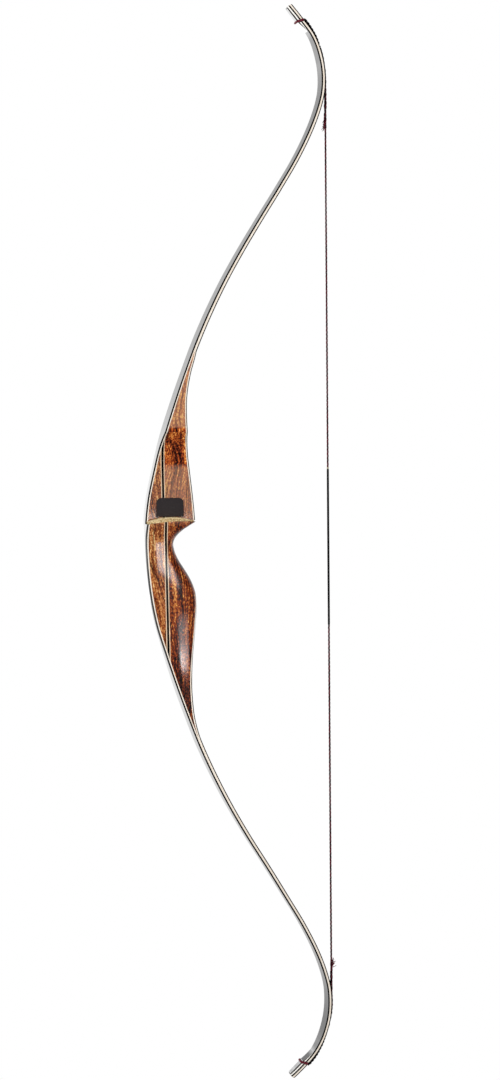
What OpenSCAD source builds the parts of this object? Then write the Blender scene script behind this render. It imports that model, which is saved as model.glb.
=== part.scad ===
// Recurve bow for a right-handed archer, braced and at rest.
// The grip's throat is the origin. +Z runs up the bow, +X points from the riser
// to the string, and -Y is the side with the sight window and the arrow shelf.

/* [Laminations] */
// Thickness of the black glass on the back
back_glass_t = 2; // [1.2:0.1:2.4]
// Thickness of the dark glass on the belly
belly_glass_t = 1.3; // [0.8:0.1:1.6]
// Thickness of one core lamination where the limb leaves the riser
core_root_t = 1.25; // [1:0.05:2.2]
// Thickness of one core lamination at the tip
core_tip_t = 0.95; // [0.8:0.05:1.8]

/* [Limbs] */
// Limb width where it leaves the riser
limb_root_w = 38; // [34:1:44]
// Limb width where the string lifts off the recurve
limb_recurve_w = 27; // [24:1:32]
// Limb width at the string nock
limb_nock_w = 14.5; // [13:0.5:18]
// Gap left round each flex point of a limb
flex_gap = 0.3; // [0.2:0.05:0.5]

/* [Tips] */
// Thickness of the pale layer of a tip overlay
overlay_light_t = 1.8; // [1.2:0.1:2.4]
// Thickness of the dark layer on top of it
overlay_dark_t = 1.5; // [1.2:0.1:2.6]
// Radius of the nock groove
nock_groove_r = 1.7; // [1.6:0.1:2.4]

/* [Riser] */
// Riser width at the sight window
riser_w = 45; // [40:1:52]
// Handle width at the throat
throat_w = 30; // [26:1:34]
// Handle width at the palm swell
palm_w = 34; // [30:1:38]
// Riser width below the handle
lower_riser_w = 38; // [34:1:42]
// Radius of the handle's rounded belly
grip_round = 13; // [9:0.5:13]
// Radius of the handle's rounded back
back_round = 10; // [6:0.5:11]

/* [Accent stripe] */
// Thickness of the black middle of the stripe
stripe_dark_t = 2.6; // [1.4:0.1:3]
// Thickness of each pale line beside it
stripe_light_t = 1.2; // [0.8:0.1:2]

/* [Sight window] */
// Height of the arrow shelf at its crown
shelf_z = 32.6; // [30:0.1:35]
// Crown radius of the arrow shelf
shelf_crown_r = 260; // [120:5:400]
// Place of the shelf's crown between back and belly
shelf_crown_x = 8; // [-10:0.5:14]
// Height at which the flat of the window ends
window_top_z = 105; // [95:1:112]
// Place of the window wall across the bow
window_y = 0.5; // [-2:0.1:2]
// Height over which the window runs out to the side of the riser
window_ramp_l = 42; // [34:1:50]
// Thickness of the shelf rug at its crown
rug_t = 4.9; // [3:0.1:5.5]
// Radius of the rug's rounded top
rug_crown_r = 90; // [80:1:200]
// Place of the rug's crown between back and belly
rug_crown_x = -3.4; // [-8:0.1:4]
// Width of the shelf rug from the window wall out
rug_w = 21; // [15:0.5:21]

/* [Side plate] */
// Width of the side plate
plate_w = 35.4; // [28:0.2:38]
// Height of the side plate
plate_h = 24.1; // [18:0.1:30]
// Thickness of the side plate
plate_t = 2; // [1:0.1:3]
// Radius of the side plate's top corners
plate_r = 6.5; // [3:0.5:8]
// Gap between the side plate and the crown of the rug
plate_gap = 0.3; // [0.2:0.1:2]

/* [String] */
// Diameter of the bowstring
string_d = 2.4; // [2:0.1:2.8]
// Diameter of the spliced ends and loops
splice_d = 3; // [2.6:0.1:3.2]
// Diameter over the centre serving
serving_d = 3; // [3:0.1:4.4]
// Height of the upper end of the serving
serving_top_z = 97; // [80:1:120]
// Height of the lower end of the serving
serving_bottom_z = -106; // [-140:1:-80]
// Height of the nocking point
nocking_z = 42; // [38:0.5:50]
// Gap between the string and the limb that it lies on
string_gap = 0.3; // [0.3:0.05:0.5]
// Length of the loose tag ends
tag_l = 15; // [10:1:20]

/* [Hidden] */

glass_color = "#1b1a1b";
belly_color = "#2a2320";
core_color = "#e9d6ba";
wood_color = "#8a3f22";
rug_color = "#d9cfa6";
plate_color = "#363535";
overlay_color = "#efe6d6";
string_color = "#3a1216";
serving_color = "#141414";

// The back of the whole bow as [z, x], from the lower tip to the upper tip
back_line = [
    [-706, 137.3], [-690, 155.9], [-670, 175], [-650, 186.8], [-625, 194.8], [-600, 197.4],
    [-575, 194.9], [-540, 183.5], [-500, 164.1], [-460, 140.4], [-420, 116.2], [-380, 91.3],
    [-340, 68.3], [-300, 47.8], [-260, 29.7], [-220, 14.3], [-180, 0], [-140, -12.9],
    [-100, -24.6], [-60, -32], [-20, -35.8], [20, -36.4], [60, -32.5], [100, -24],
    [140, -14.3], [180, -1.5], [220, 12.6], [260, 27.9], [300, 45.5], [340, 65.5],
    [380, 88.2], [420, 112.8], [460, 138.2], [500, 162.2], [540, 181.7], [575, 193.4],
    [600, 195.7], [625, 192.5], [650, 184], [670, 170.5], [690, 154.5], [706, 142.2]
];

// The belly of the riser as [z, x], before the handle is cut into it
riser_belly = [
    [-240, 28.6], [-220, 23.8], [-200, 21.5], [-180, 20.5], [-160, 21.1], [-140, 22.8],
    [-110, 26.6], [-70, 30.4], [-20, 31], [30, 29.2], [60, 26.8], [90, 23.5],
    [120, 20], [150, 17.1], [175, 16.4], [195, 17.5], [220, 22], [240, 27.7]
];

// The handle's belly from the palm swell through the throat to the beak, as [z, x]
handle_line = [
    [-110, 34], [-90, 30.8], [-80, 30], [-70, 29.7], [-60, 28.2], [-50, 24.9], [-40, 20.2],
    [-30, 14.2], [-20, 7.9], [-10, 3], [-2, 0.8], [4, 0.3], [10, 2.2], [16, 6.6], [22, 12.9],
    [25, 17.1], [28, 21.2], [31, 25.5], [33.5, 29.6], [37, 35.4]
];

// Heights at which the riser is sectioned
riser_z = [
    -272, -262, -252, -242, -230, -218, -206, -194, -182, -170, -158, -146, -134, -122, -110,
    -98, -86, -76, -68, -60, -53, -46, -40, -34, -28, -22, -16, -10, -5, 0, 5, 10, 15, 20,
    24, 28, 31, 34, 37, 44, 54, 64, 76, 88, 100, 112, 124, 136, 148, 160, 172, 184, 196,
    208, 220, 232, 242, 252, 262, 272
];

// Flex points: where the limb leaves the riser, and half way up the limb
upper_root_z = 262;
upper_mid_z = 440;
lower_root_z = -262;
lower_mid_z = -434;

// Where the string lifts off the recurve, and the string nocks
upper_lift_z = 597;
lower_lift_z = -603;
upper_nock_z = 671.5;
lower_nock_z = -679.5;
upper_tag_z = 540;
lower_tag_z = -553;

// Beside each nock: where the loop closes, the overlay fades out and the tip ends
upper_merge_z = upper_nock_z - 31.5;
lower_merge_z = lower_nock_z + 33.5;
upper_overlay_z = upper_nock_z - 14;
lower_overlay_z = lower_nock_z + 14;
upper_tip_z = upper_nock_z + 19;
lower_tip_z = lower_nock_z - 17;

// Where the feathered ends of the riser's wood stop
upper_fade_z = 246;
lower_fade_z = -247;

// The stripe's front face leans slightly: its place at two heights
stripe_top = [136, -14.2];
stripe_bottom = [-146, -10.8];

// How far the sculpted form stands proud of its layers, and a size past any cut
riser_skin = 0.05;
reach = 320;

function segment(p, z, i = 0) = i >= len(p) - 2 || z < p[i + 1][0] ? i : segment(p, z, i + 1);
function knot_slope(p, i) =
    let (a = max(i - 1, 0), b = min(i + 1, len(p) - 1))
    (p[b][1] - p[a][1]) / (p[b][0] - p[a][0]);

// Smooth curve through the points p, read at the height z, and straight past its ends
function curve(p, z) =
    let (
        last = len(p) - 1,
        inside = max(p[0][0], min(p[last][0], z)),
        i = segment(p, inside),
        h = p[i + 1][0] - p[i][0],
        t = (inside - p[i][0]) / h,
        a = knot_slope(p, i) * h,
        b = knot_slope(p, i + 1) * h
    )
    p[i][1] * (2 * t - 3) * t * t + p[i][1] + a * t * (t - 1) * (t - 1)
    + p[i + 1][1] * (3 - 2 * t) * t * t + b * t * t * (t - 1)
    + (z - inside) * knot_slope(p, z < inside ? 0 : last);

function unit(v) = v / norm(v);
function back_slope(z) = curve(back_line, z + 0.5) - curve(back_line, z - 0.5);
function along(z) = unit([back_slope(z), 1]);
function inward(z) = unit([1, -back_slope(z)]);

// A point on the limb: t below the back, towards the belly
function at(z, t) = [curve(back_line, z), z] + t * inward(z);

function core_t(z) =
    let (f = max(0, min(1, (abs(z) - upper_root_z) / (upper_nock_z - upper_root_z))))
    core_root_t + f * (core_tip_t - core_root_t);
function stack_t(z) = back_glass_t + 2 * core_t(z) + belly_glass_t;
function steps(a, b, n) = [for (i = [0:n]) a + (b - a) * i / n];

// The riser's belly joins the limb's belly beyond the feathered ends
function stack_x(z) = curve(back_line, z) + stack_t(z) * norm([1, back_slope(z)]);
belly_line = concat(
    [for (z = [-276, -265, -254]) [z, stack_x(z)]],
    riser_belly,
    [for (z = [252, 264, 276]) [z, stack_x(z)]]
);
function belly_slope(z) = curve(belly_line, z + 0.5) - curve(belly_line, z - 0.5);
function belly_at(z, t) = [curve(belly_line, z), z] - t * unit([1, -belly_slope(z)]);

// Half widths of the riser and of the limbs
half_w = [
    [-272, limb_root_w / 2], [-230, limb_root_w / 2 + 0.3], [-180, lower_riser_w / 2 + 0.4],
    [-140, lower_riser_w / 2 - 0.6], [-110, palm_w / 2 + 0.4], [-75, palm_w / 2],
    [-40, palm_w / 2 - 0.8], [-5, throat_w / 2], [12, throat_w / 2 + 0.4],
    [24, (throat_w + riser_w) / 4], [34, riser_w / 2 - 0.6], [60, riser_w / 2],
    [120, riser_w / 2], [170, riser_w / 2 - 1], [215, riser_w / 2 - 2.6],
    [272, limb_root_w / 2]
];
belly_round = [
    [-272, 0.8], [-200, 0.8], [-165, 1.5], [-130, grip_round * 0.5], [-100, grip_round * 0.85],
    [-70, grip_round], [-20, grip_round], [10, grip_round * 0.95], [22, grip_round * 0.6],
    [30, grip_round * 0.3], [36, 1.2], [60, 0.8], [272, 0.8]
];
back_rounding = [
    [-272, 0.8], [-195, 0.8], [-170, 2], [-140, back_round * 0.6], [-105, back_round],
    [10, back_round], [24, back_round * 0.6], [34, 1.5], [60, 0.8], [272, 0.8]
];

// Half width of a limb, from the height above or below its nock
function limb_half_w(z) = curve([
    [-430, limb_root_w / 2 + 0.2], [-290, limb_root_w / 2 - 1.2], [-170, limb_recurve_w / 2 + 1.8],
    [-72, limb_recurve_w / 2], [-40, limb_recurve_w / 2 - 1.4], [-17.5, limb_nock_w / 2 + 2.6],
    [0, limb_nock_w / 2], [12, limb_nock_w / 2 - 0.6], [20.5, limb_nock_w / 2 - 2], [26.5, 2]
], z > 0 ? z - upper_nock_z : lower_nock_z - z);

// Section of the sculpted riser at a height, as a rounded outline in X and Y
function corner(c, r, from, n = 4) =
    [for (i = [0:n]) c + r * [cos(from + 90 * i / n), sin(from + 90 * i / n)]];
function riser_outline(z) =
    let (
        x0 = curve(back_line, z) - riser_skin,
        open = curve(belly_line, z) + riser_skin,
        hand = z > handle_line[0][0] && z < 36.5 ? curve(handle_line, z) : open,
        x1 = min(open, hand),
        w = curve(half_w, z),
        ra = min(curve(back_rounding, z), (x1 - x0) * 0.45, w - 0.5),
        rb = min(curve(belly_round, z), (x1 - x0) * 0.45, w - 0.5)
    )
    concat(
        corner([x1 - rb, w - rb], rb, 0), corner([x0 + ra, w - ra], ra, 90),
        corner([x0 + ra, ra - w], ra, 180), corner([x1 - rb, rb - w], rb, 270)
    );
function riser_section(z) = [for (p = riser_outline(z)) [p[0], p[1], z]];

module in_profile(width) {
    rotate([90, 0, 0]) linear_extrude(height = width, center = true, convexity = 6) children();
}

// The riser's whole sculpted form, from flex point to flex point
module riser_form() {
    n = len(riser_section(0));
    for (i = [0:len(riser_z) - 2])
        hull() polyhedron(
            points = concat(riser_section(riser_z[i]), riser_section(riser_z[i + 1])),
            faces = [[for (k = [0:n - 1]) k], [for (k = [n - 1:-1:0]) n + k]]
        );
}

// The sight window, cut from one side above the crowned shelf
module window_cut() {
    ramp_r = (pow(riser_w / 2 + window_y, 2) + pow(window_ramp_l, 2)) / (riser_w + 2 * window_y);
    intersection() {
        translate([0, window_y, 0]) rotate([0, -90, 0])
            linear_extrude(height = reach, center = true) {
                translate([0, -reach]) square([window_top_z, reach]);
                intersection() {
                    translate([window_top_z, -reach]) square([reach / 4, reach]);
                    translate([window_top_z, -ramp_r]) circle(r = ramp_r, $fn = 96);
                }
            }
        in_profile(reach) difference() {
            translate([-reach / 2, 0]) square([reach, reach]);
            shelf_circle();
        }
    }
}

// Side view of the crown that the shelf follows
module shelf_circle() {
    translate([shelf_crown_x, shelf_z - shelf_crown_r]) circle(r = shelf_crown_r, $fn = 240);
}

// Cuts that end the riser and each limb section at a flex point
module flex_disc(z, r) {
    c = at(z, stack_t(z) / 2);
    translate(c) circle(r = r, $fn = 64);
}
module beyond(z, up) {
    c = at(z, stack_t(z) / 2);
    a = atan2(along(z)[1], along(z)[0]) - 90;
    translate(c) rotate(a) translate([-reach / 2, up ? 0 : -reach]) square([reach, reach]);
}
module riser_ends() {
    difference() {
        square([2 * reach, 3 * reach], center = true);
        beyond(upper_root_z, true);
        beyond(lower_root_z, false);
        flex_disc(upper_root_z, stack_t(upper_root_z) / 2 + flex_gap);
        flex_disc(lower_root_z, stack_t(lower_root_z) / 2 + flex_gap);
    }
}

// Bands of the riser in side view
module back_band(t0, t1) {
    polygon(concat(
        [for (z = riser_z) at(z, t0)],
        [for (i = [len(riser_z) - 1:-1:0]) at(riser_z[i], t1)]
    ));
}
module belly_band(t0, t1) {
    polygon(concat(
        [for (z = riser_z) belly_at(z, t0)],
        [for (i = [len(riser_z) - 1:-1:0]) belly_at(riser_z[i], t1)]
    ));
}
module wood_region() {
    depth = back_glass_t + core_root_t;
    rear = belly_glass_t + core_root_t;
    zs = [for (z = riser_z) if (z > lower_fade_z && z < upper_fade_z) z];
    polygon(concat(
        [for (z = zs) at(z, depth)],
        [for (i = [len(zs) - 1:-1:0]) belly_at(zs[i], rear)]
    ));
}
module stripe_band(x0, x1) {
    polygon([
        [stripe_bottom[1] + x0 - 4, -reach * 1.5], [stripe_bottom[1] + x1 - 4, -reach * 1.5],
        [stripe_bottom[1] + x1, stripe_bottom[0]], [stripe_top[1] + x1, stripe_top[0]],
        [stripe_top[1] + x1 - 2, reach * 1.5], [stripe_top[1] + x0 - 2, reach * 1.5],
        [stripe_top[1] + x0, stripe_top[0]], [stripe_bottom[1] + x0, stripe_bottom[0]]
    ]);
}

// One layer of the riser: the sculpted form where the layer's side view covers it
module riser_layer() {
    difference() {
        intersection() {
            riser_form();
            in_profile(reach) intersection() {
                children();
                riser_ends();
            }
        }
        window_cut();
    }
}

// The stripe's whole thickness
stripe_t = stripe_dark_t + 2 * stripe_light_t;
module riser_main_block() {
    color(wood_color) riser_layer() intersection() {
        wood_region();
        stripe_band(stripe_t, reach);
    }
}
module riser_front_block() {
    color(wood_color) riser_layer() intersection() {
        wood_region();
        stripe_band(-reach, 0);
    }
}
module riser_stripe_light_front() {
    color(core_color) riser_layer() intersection() {
        wood_region();
        stripe_band(0, stripe_light_t);
    }
}
module riser_stripe_dark() {
    color(glass_color) riser_layer() intersection() {
        wood_region();
        stripe_band(stripe_light_t, stripe_light_t + stripe_dark_t);
    }
}
module riser_stripe_light_rear() {
    color(core_color) riser_layer() intersection() {
        wood_region();
        stripe_band(stripe_light_t + stripe_dark_t, stripe_t);
    }
}
module riser_back_glass() {
    color(glass_color) riser_layer() back_band(-1, back_glass_t);
}
module riser_back_core() {
    color(core_color) riser_layer() back_band(back_glass_t, back_glass_t + core_root_t);
}
module half(up) {
    translate([-reach, up ? 0 : -2 * reach]) square([2 * reach, 2 * reach]);
}
module riser_belly_glass(up) {
    color(belly_color) riser_layer() intersection() {
        belly_band(-1, belly_glass_t);
        half(up);
    }
}
module riser_belly_core(up) {
    color(core_color) riser_layer() intersection() {
        belly_band(belly_glass_t, belly_glass_t + core_root_t);
        half(up);
    }
}
module riser_upper_belly_glass() { riser_belly_glass(true); }
module riser_upper_belly_core() { riser_belly_core(true); }
module riser_lower_belly_glass() { riser_belly_glass(false); }
module riser_lower_belly_core() { riser_belly_core(false); }

// Crowned rug on the shelf, and the plate on the window wall above it
module shelf_rug() {
    x0 = curve(back_line, shelf_z) + 1.2;
    x1 = curve(riser_belly, shelf_z + 6) - 4.6;
    color(rug_color)
        translate([0, window_y - rug_w / 2, 0]) in_profile(rug_w) intersection() {
            translate([x0, shelf_z - 20]) square([x1 - x0, 40]);
            difference() {
                translate([rug_crown_x, shelf_z + rug_t - rug_crown_r])
                    circle(r = rug_crown_r, $fn = 180);
                shelf_circle();
            }
        }
}
// Middle and foot of the side plate
plate_x = -3.8;
plate_z = shelf_z + rug_t + plate_gap;
module side_plate() {
    color(plate_color)
        translate([plate_x, window_y - plate_t / 2, plate_z]) in_profile(plate_t) {
            translate([-plate_w / 2, 0]) square([plate_w, plate_h - plate_r]);
            translate([plate_r - plate_w / 2, 0]) square([plate_w - 2 * plate_r, plate_h]);
            for (side = [-1, 1])
                translate([side * (plate_w / 2 - plate_r), plate_h - plate_r])
                    circle(r = plate_r, $fn = 48);
        }
}

// Side view of one limb lamination between two heights
module limb_band(za, zb, f0, f1) {
    n = 26;
    zs = steps(za, zb, n);
    polygon(concat(
        [for (z = zs) at(z, layer_t(z, f0))],
        [for (i = [n:-1:0]) at(zs[i], layer_t(zs[i], f1))]
    ));
}
// Depth of a layer's face below the back: 0 back, 1 under the glass, 2 middle, 3, 4 belly
function layer_t(z, k) =
    k == 0 ? 0 :
    k == 1 ? back_glass_t :
    k == 2 ? back_glass_t + core_t(z) :
    k == 3 ? back_glass_t + 2 * core_t(z) : stack_t(z);

// Outline of a limb seen from the back, from za to zb
module limb_front(za, zb) {
    n = 40;
    zs = steps(za, zb, n);
    rotate([90, 0, 90]) linear_extrude(height = 3 * reach, center = true) polygon(concat(
        [for (z = zs) [limb_half_w(z), z]],
        [for (i = [n:-1:0]) [-limb_half_w(zs[i]), zs[i]]]
    ));
}

// A limb section starts with a round end in the flex point's hollow
module limb_section(root_z, end_z, k, open_end) {
    up = root_z > 0;
    dir = up ? 1 : -1;
    r = stack_t(root_z) / 2;
    intersection() {
        in_profile(reach) difference() {
            intersection() {
                limb_band(root_z - dir * 4, end_z + dir * (open_end ? 4 : 0), k, k + 1);
                union() {
                    beyond(root_z, up);
                    flex_disc(root_z, r);
                }
            }
            if (open_end) {
                beyond(end_z, up);
                flex_disc(end_z, stack_t(end_z) / 2 + flex_gap);
            }
        }
        limb_front(root_z - dir * 8, end_z + dir * 5);
    }
}

// Nock grooves: the loop crosses each side of the tip along this line
nock_dir = unit([0.95, 0.31]);
function nock_point(z) = at(z, (stack_t(z) - overlay_t) / 2);
function nock_line(z) = [nock_dir[0], z > 0 ? nock_dir[1] : -nock_dir[1]];
module nock_grooves(z) {
    c = nock_point(z);
    a = atan2(nock_line(z)[1], nock_line(z)[0]);
    for (side = [-1, 1])
        translate([c[0], side * (limb_nock_w / 2 + 0.2), c[1]])
            rotate([0, 90 - a, 0]) cylinder(r = nock_groove_r, h = 40, center = true, $fn = 40);
}

module recurve_layer(root_z, tip_z, nock_z, k) {
    difference() {
        limb_section(root_z, tip_z, k, false);
        nock_grooves(nock_z);
    }
}

// Tip overlay: a filed wedge on the back, pale below and dark on top
overlay_t = overlay_light_t + overlay_dark_t;
// The pale layer's share of the wedge, and how far up the wedge each layer starts
pale_share = 0.58;
pale_start = 2.5;
dark_start = 1.5;
function wedge_t(d) = lookup(d, [
    [0, 0], [5, overlay_t * 0.35], [14, overlay_t], [24, overlay_t], [40, overlay_t - 0.8]
]);
function pale_t(d) = min(wedge_t(d) * pale_share, overlay_light_t);
module overlay_band(fade_z, tip_z, start, bed, light) {
    n = 24;
    dir = tip_z > 0 ? 1 : -1;
    ds = steps(start, abs(tip_z - fade_z), n);
    polygon(concat(
        [for (i = [0:n]) at(fade_z + dir * ds[i], i < n ? bed : 0)],
        [for (i = [n:-1:0])
            at(fade_z + dir * ds[i], -(light ? pale_t(ds[i]) : wedge_t(ds[i])))]
    ));
}
module overlay(root_z, fade_z, tip_z, nock_z, dark) {
    dir = tip_z > 0 ? 1 : -1;
    difference() {
        intersection() {
            in_profile(reach) difference() {
                overlay_band(fade_z, tip_z, dark ? dark_start : pale_start, back_glass_t / 2, !dark);
                limb_band(root_z - dir * 4, tip_z, 0, 4);
                if (dark) overlay_band(fade_z, tip_z, pale_start, back_glass_t, true);
            }
            limb_front(fade_z - dir * 12, tip_z + dir * 5);
        }
        nock_grooves(nock_z);
    }
}

module upper_limb_back_glass() { color(glass_color) limb_section(upper_root_z, upper_mid_z, 0, true); }
module upper_limb_back_core() { color(core_color) limb_section(upper_root_z, upper_mid_z, 1, true); }
module upper_limb_belly_core() { color(core_color) limb_section(upper_root_z, upper_mid_z, 2, true); }
module upper_limb_belly_glass() { color(belly_color) limb_section(upper_root_z, upper_mid_z, 3, true); }
module upper_recurve_back_glass() {
    color(glass_color) recurve_layer(upper_mid_z, upper_tip_z, upper_nock_z, 0);
}
module upper_recurve_back_core() {
    color(core_color) recurve_layer(upper_mid_z, upper_tip_z, upper_nock_z, 1);
}
module upper_recurve_belly_core() {
    color(core_color) recurve_layer(upper_mid_z, upper_tip_z, upper_nock_z, 2);
}
module upper_recurve_belly_glass() {
    color(belly_color) recurve_layer(upper_mid_z, upper_tip_z, upper_nock_z, 3);
}
module upper_tip_overlay_light() {
    color(overlay_color) overlay(upper_mid_z, upper_overlay_z, upper_tip_z, upper_nock_z, false);
}
module upper_tip_overlay_dark() {
    color(glass_color) overlay(upper_mid_z, upper_overlay_z, upper_tip_z, upper_nock_z, true);
}

module lower_limb_back_glass() { color(glass_color) limb_section(lower_root_z, lower_mid_z, 0, true); }
module lower_limb_back_core() { color(core_color) limb_section(lower_root_z, lower_mid_z, 1, true); }
module lower_limb_belly_core() { color(core_color) limb_section(lower_root_z, lower_mid_z, 2, true); }
module lower_limb_belly_glass() { color(belly_color) limb_section(lower_root_z, lower_mid_z, 3, true); }
module lower_recurve_back_glass() {
    color(glass_color) recurve_layer(lower_mid_z, lower_tip_z, lower_nock_z, 0);
}
module lower_recurve_back_core() {
    color(core_color) recurve_layer(lower_mid_z, lower_tip_z, lower_nock_z, 1);
}
module lower_recurve_belly_core() {
    color(core_color) recurve_layer(lower_mid_z, lower_tip_z, lower_nock_z, 2);
}
module lower_recurve_belly_glass() {
    color(belly_color) recurve_layer(lower_mid_z, lower_tip_z, lower_nock_z, 3);
}
module lower_tip_overlay_light() {
    color(overlay_color) overlay(lower_mid_z, lower_overlay_z, lower_tip_z, lower_nock_z, false);
}
module lower_tip_overlay_dark() {
    color(glass_color) overlay(lower_mid_z, lower_overlay_z, lower_tip_z, lower_nock_z, true);
}

// A round tube swept along a route, closed into a ring or left with flat ends
function tangent(p, i, ring) =
    let (n = len(p), a = ring ? (i + n - 1) % n : max(i - 1, 0), b = ring ? (i + 1) % n : min(i + 1, n - 1))
    unit(p[b] - p[a]);
function flatten(v, t) = unit(v - (v * t) * t);
module tube(route, d, ring, sides = 8) {
    n = len(route);
    ts = [for (i = [0:n - 1]) tangent(route, i, ring)];
    us = [for (i = 0, u = flatten([0.3, 0.9, 0.2], ts[0]); i < n;
        i = i + 1, u = i < n ? flatten(u, ts[i]) : u) u];
    points = [for (i = [0:n - 1]) for (k = [0:sides - 1])
        route[i] + d / 2 * (cos(360 * k / sides) * us[i] + sin(360 * k / sides) * cross(ts[i], us[i]))];
    walls = [for (i = [0:(ring ? n - 1 : n - 2)]) for (k = [0:sides - 1])
        let (j = (i + 1) % n, m = (k + 1) % sides)
        each [[i * sides + k, j * sides + k, j * sides + m], [i * sides + k, j * sides + m, i * sides + m]]];
    ends = ring ? [] : [
        [for (k = [0:sides - 1]) k],
        [for (k = [sides - 1:-1:0]) (n - 1) * sides + k]
    ];
    polyhedron(points = points, faces = concat(walls, ends), convexity = 6);
}

// Clearance of the loop from the belly, and from the bottom of the side grooves
loop_lift = 0.35;
groove_gap = 0.35;

// The string's centre line where it lies on the belly of a recurve
function on_belly(z, lift = 0) = at(z, stack_t(z) + string_gap + lift + splice_d / 2);
function to_3d(p, y) = [p[0], y, p[1]];

// Half of the loop: across the back, through the side groove and down the belly
function loop_half(nock_z, merge_z) =
    let (
        c = nock_point(nock_z),
        g = nock_line(nock_z),
        depth = (stack_t(nock_z) + overlay_t) / 2 / (g * inward(nock_z)),
        out = depth + string_gap + splice_d / 2,
        side = limb_nock_w / 2 + groove_gap,
        z1 = merge_z + (nock_z - merge_z) * 0.66,
        z2 = merge_z + (nock_z - merge_z) * 0.38,
        z3 = merge_z + (nock_z - merge_z) * 0.12
    )
    [
        to_3d(c - out * g, side * 0.25), to_3d(c - out * g, side * 0.75),
        to_3d(c - (out - 0.5) * g, side - 0.5), to_3d(c - (out - 2) * g, side),
        to_3d(c, side), to_3d(c + (out - 1.7) * g, side),
        to_3d(c + (out - 0.1) * g, side - 0.4), to_3d(on_belly(z1, loop_lift), side * 0.7),
        to_3d(on_belly(z2, loop_lift), side * 0.46),
        to_3d(on_belly(z3, loop_lift), splice_d / 2 + 0.3)
    ];
function loop_route(nock_z, merge_z) =
    let (h = loop_half(nock_z, merge_z))
    concat(
        h, [to_3d(on_belly(merge_z, loop_lift), 0)],
        [for (i = [len(h) - 1:-1:0]) [h[i][0], -h[i][1], h[i][2]]]
    );
// Smooths a closed route by points between the chosen ones
function rounded(p, n = 2) = [for (i = [0:len(p) - 1]) for (k = [0:n - 1])
    let (m = len(p), t = k / n, a = p[(i + m - 1) % m], b = p[i], c = p[(i + 1) % m], d = p[(i + 2) % m])
    b + t * ((c - a) / 2 + t * (a - 2.5 * b + 2 * c - d / 2 + t * (1.5 * (b - c) + (d - a) / 2)))];

module string_loop(nock_z, merge_z) {
    color(string_color) tube(rounded(loop_route(nock_z, merge_z)), splice_d, true);
}
module string_splice(merge_z, lift_z) {
    dir = merge_z > 0 ? -1 : 1;
    start = merge_z + dir * (splice_d + 0.6);
    color(string_color)
        tube([for (z = steps(start, lift_z, 7)) to_3d(on_belly(z), 0)], splice_d, false);
}

// A straight round bar between two points of the side view
module bar(a, b, d0, d1) {
    v = b - a;
    translate([a[0], 0, a[1]]) rotate([0, atan2(v[0], v[1]), 0])
        cylinder(h = norm(v), d1 = d0, d2 = d1, $fn = 40);
}
lift_upper = on_belly(upper_lift_z);
lift_lower = on_belly(lower_lift_z);
function on_string(z) =
    lift_lower + (lift_upper - lift_lower) * (z - lift_lower[1]) / (lift_upper[1] - lift_lower[1]);

// Half the gap between the string's halves, and the gap at each lift point
half_gap = 0.15;
lift_gap = 0.7;
module half_string(lift_z, tag_z, nock_z) {
    dir = lift_z > 0 ? 1 : -1;
    color(string_color) {
        bar(on_string(lift_z - dir * lift_gap), on_string(tag_z), splice_d, splice_d);
        bar(on_string(tag_z + dir * 2), on_string(nock_z), string_d, string_d);
    }
}
module half_serving(end_z, nock_z) {
    color(serving_color) difference() {
        bar(on_string(end_z), on_string(nock_z), serving_d, serving_d);
        bar(on_string(end_z * 1.1), on_string(nock_z + (nock_z - end_z) * 0.1), string_d, string_d);
    }
}
module tag_ends(z, side) {
    dir = z > 0 ? -1 : 1;
    root = side * (splice_d / 2 + 1.1);
    color(string_color)
        bar(on_string(z) + [root, 0], on_string(z + dir * tag_l) + [root + side * 3, 0], 1.6, 3);
}

module upper_string_loop() { string_loop(upper_nock_z, upper_merge_z); }
module upper_string_splice() { string_splice(upper_merge_z, upper_lift_z); }
module upper_string() { half_string(upper_lift_z, upper_tag_z, nocking_z + half_gap); }
module upper_serving() { half_serving(serving_top_z, nocking_z + half_gap); }
module upper_tag_ends() { tag_ends(upper_tag_z, -1); }
module lower_string_loop() { string_loop(lower_nock_z, lower_merge_z); }
module lower_string_splice() { string_splice(lower_merge_z, lower_lift_z); }
module lower_string() { half_string(lower_lift_z, lower_tag_z, nocking_z - half_gap); }
module lower_serving() { half_serving(serving_bottom_z, nocking_z - half_gap); }
module lower_tag_ends() { tag_ends(lower_tag_z, 1); }

riser_main_block();
riser_front_block();
riser_stripe_dark();
riser_stripe_light_front();
riser_stripe_light_rear();
riser_back_core();
riser_back_glass();
riser_upper_belly_core();
riser_upper_belly_glass();
riser_lower_belly_core();
riser_lower_belly_glass();
shelf_rug();
side_plate();
upper_limb_back_glass();
upper_limb_back_core();
upper_limb_belly_core();
upper_limb_belly_glass();
upper_recurve_back_glass();
upper_recurve_back_core();
upper_recurve_belly_core();
upper_recurve_belly_glass();
upper_tip_overlay_light();
upper_tip_overlay_dark();
lower_limb_back_glass();
lower_limb_back_core();
lower_limb_belly_core();
lower_limb_belly_glass();
lower_recurve_back_glass();
lower_recurve_back_core();
lower_recurve_belly_core();
lower_recurve_belly_glass();
lower_tip_overlay_light();
lower_tip_overlay_dark();
upper_string_loop();
upper_string_splice();
upper_string();
upper_serving();
upper_tag_ends();
lower_string_loop();
lower_string_splice();
lower_string();
lower_serving();
lower_tag_ends();
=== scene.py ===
# Recurve bow: laminated riser and limbs, tips, shelf rug, side plate and bowstring.
# Sizes are millimetres in the side view; +X is towards the string, +Z up the bow.
import math
import random

import bmesh
import bpy
import numpy as np
from mathutils import Matrix, Quaternion, Vector


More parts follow.
